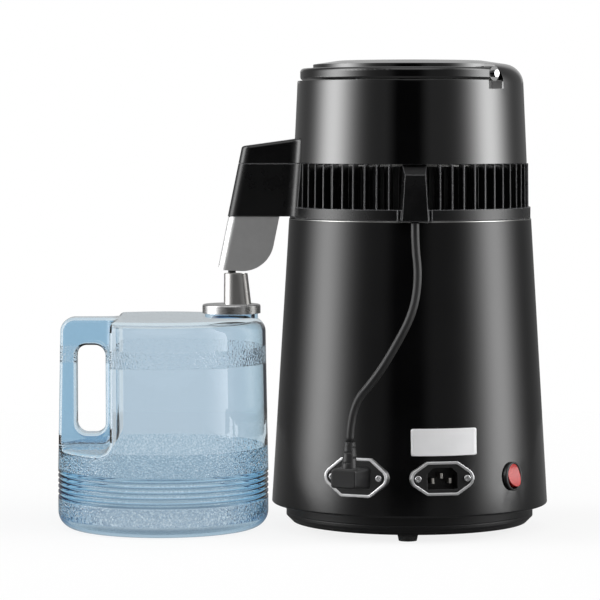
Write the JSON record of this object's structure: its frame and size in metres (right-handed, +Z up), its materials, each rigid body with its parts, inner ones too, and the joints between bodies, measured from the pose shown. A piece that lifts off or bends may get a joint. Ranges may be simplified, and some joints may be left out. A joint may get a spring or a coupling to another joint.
{
  "type": "countertop water distiller",
  "caption": "Countertop water distiller: tapered black boiler with a lift-off fan-cooled condenser head, side spout and clear blue collecting jug.",
  "frame": {"origin": "middle of the footprint at counter level, under the boiler and the jug together", "axes": "+X from the jug to the boiler, -Y out of the service side with the sockets and the switch, +Z up"},
  "size_m": [0.4049, 0.2466, 0.3849],
  "materials": {
    "housing_black": "gloss black stove paint",
    "tray_black": "satin black moulding",
    "foot_rubber": "black rubber",
    "tank_steel": "drawn stainless steel",
    "heater_alu": "plain aluminium",
    "fin_dark": "dark coated fin stock",
    "tube_steel": "plain steel tube",
    "thermostat_cream": "glazed body",
    "socket_black": "black socket moulding",
    "contact_metal": "plated contact",
    "bezel_silver": "bright plated rim",
    "screw_steel": "zinc-plated screw",
    "rocker_red": "red moulding",
    "lead_black": "black moulded lead",
    "vent_grey": "grained dark moulding",
    "cover_black": "polished black moulding",
    "pin_chrome": "bright pin",
    "insert_steel": "satin steel",
    "cap_steel": "brushed steel",
    "silicone_white": "food silicone",
    "cup_white": "white moulding",
    "carbon_black": "filter fleece with carbon",
    "motor_grey": "painted can",
    "fan_black": "black fan moulding",
    "jug_blue": "clear blue moulding"
  },
  "bodies": {
    "boiler": {"outer_housing": "housing_black", "base_tray": "tray_black", "rubber_feet": "foot_rubber", "boiler_tank": "tank_steel", "heater_plate": "heater_alu", "heater_tube": "tube_steel", "thermostats": "thermostat_cream", "tie_posts": "tube_steel", "tie_screws": "screw_steel", "mains_inlet": "socket_black", "mains_inlet_pins": "contact_metal", "mains_inlet_bezel": "bezel_silver", "head_outlet": "socket_black", "head_outlet_pins": "contact_metal", "head_outlet_bezel": "bezel_silver", "socket_screws": "screw_steel", "switch_body": "socket_black", "head_plug": "lead_black", "plug_boot": "lead_black"},
    "head": {"seal_ring": "silicone_white", "steam_pan": "tank_steel", "vent_ring": "vent_grey", "head_cover": "cover_black", "fan_guard": "tray_black", "handle_pins": "pin_chrome", "spout_insert": "insert_steel", "outlet_nipple": "foot_rubber", "filter_cup": "cup_white", "carbon_pack": "carbon_black", "condenser_coil": "tube_steel", "condenser_fins": "fin_dark", "fan_motor": "motor_grey", "motor_bracket": "tube_steel", "bracket_screws": "screw_steel", "head_cord": "lead_black"},
    "handle": {"carry_handle": "cover_black"},
    "fan": {"motor_shaft": "tube_steel", "fan_rotor": "fan_black"},
    "switch_rocker": {"rocker": "rocker_red"},
    "jug": {"jug": "jug_blue"},
    "cap": {"jug_cap": "cap_steel", "cap_liner": "silicone_white", "cap_inlet": "insert_steel"}
  },
  "joints": [
    {"name": "head_lift", "type": "slide", "parent": "boiler", "child": "head", "axis": [0, 0, 1], "range_m": [0, 0.045], "deforming": ["head_cord"]},
    {"name": "handle_swing", "type": "hinge", "parent": "head", "child": "handle", "pos_m": [0.0885, 0, 0.3737], "axis": [-0.7193, 0.6947, 0], "range_deg": [0, 90]},
    {"name": "fan_spin", "type": "hinge", "parent": "head", "child": "fan", "pos_m": [0.0885, 0, 0.3259], "axis": [0, 0, 1], "continuous": true},
    {"name": "switch_rock", "type": "hinge", "parent": "boiler", "child": "switch_rocker", "pos_m": [0.16692, -0.07842, 0.05062], "axis": [0.7071, 0.7071, 0], "range_deg": [0, 22]},
    {"name": "jug_slide", "type": "slide", "parent": "boiler", "child": "jug", "axis": [-1, 0, 0], "range_m": [0, 0.12]},
    {"name": "cap_turn", "type": "hinge", "parent": "jug", "child": "cap", "pos_m": [-0.0589, 0, 0.1772], "axis": [0, 0, 1], "continuous": true}
  ]
}
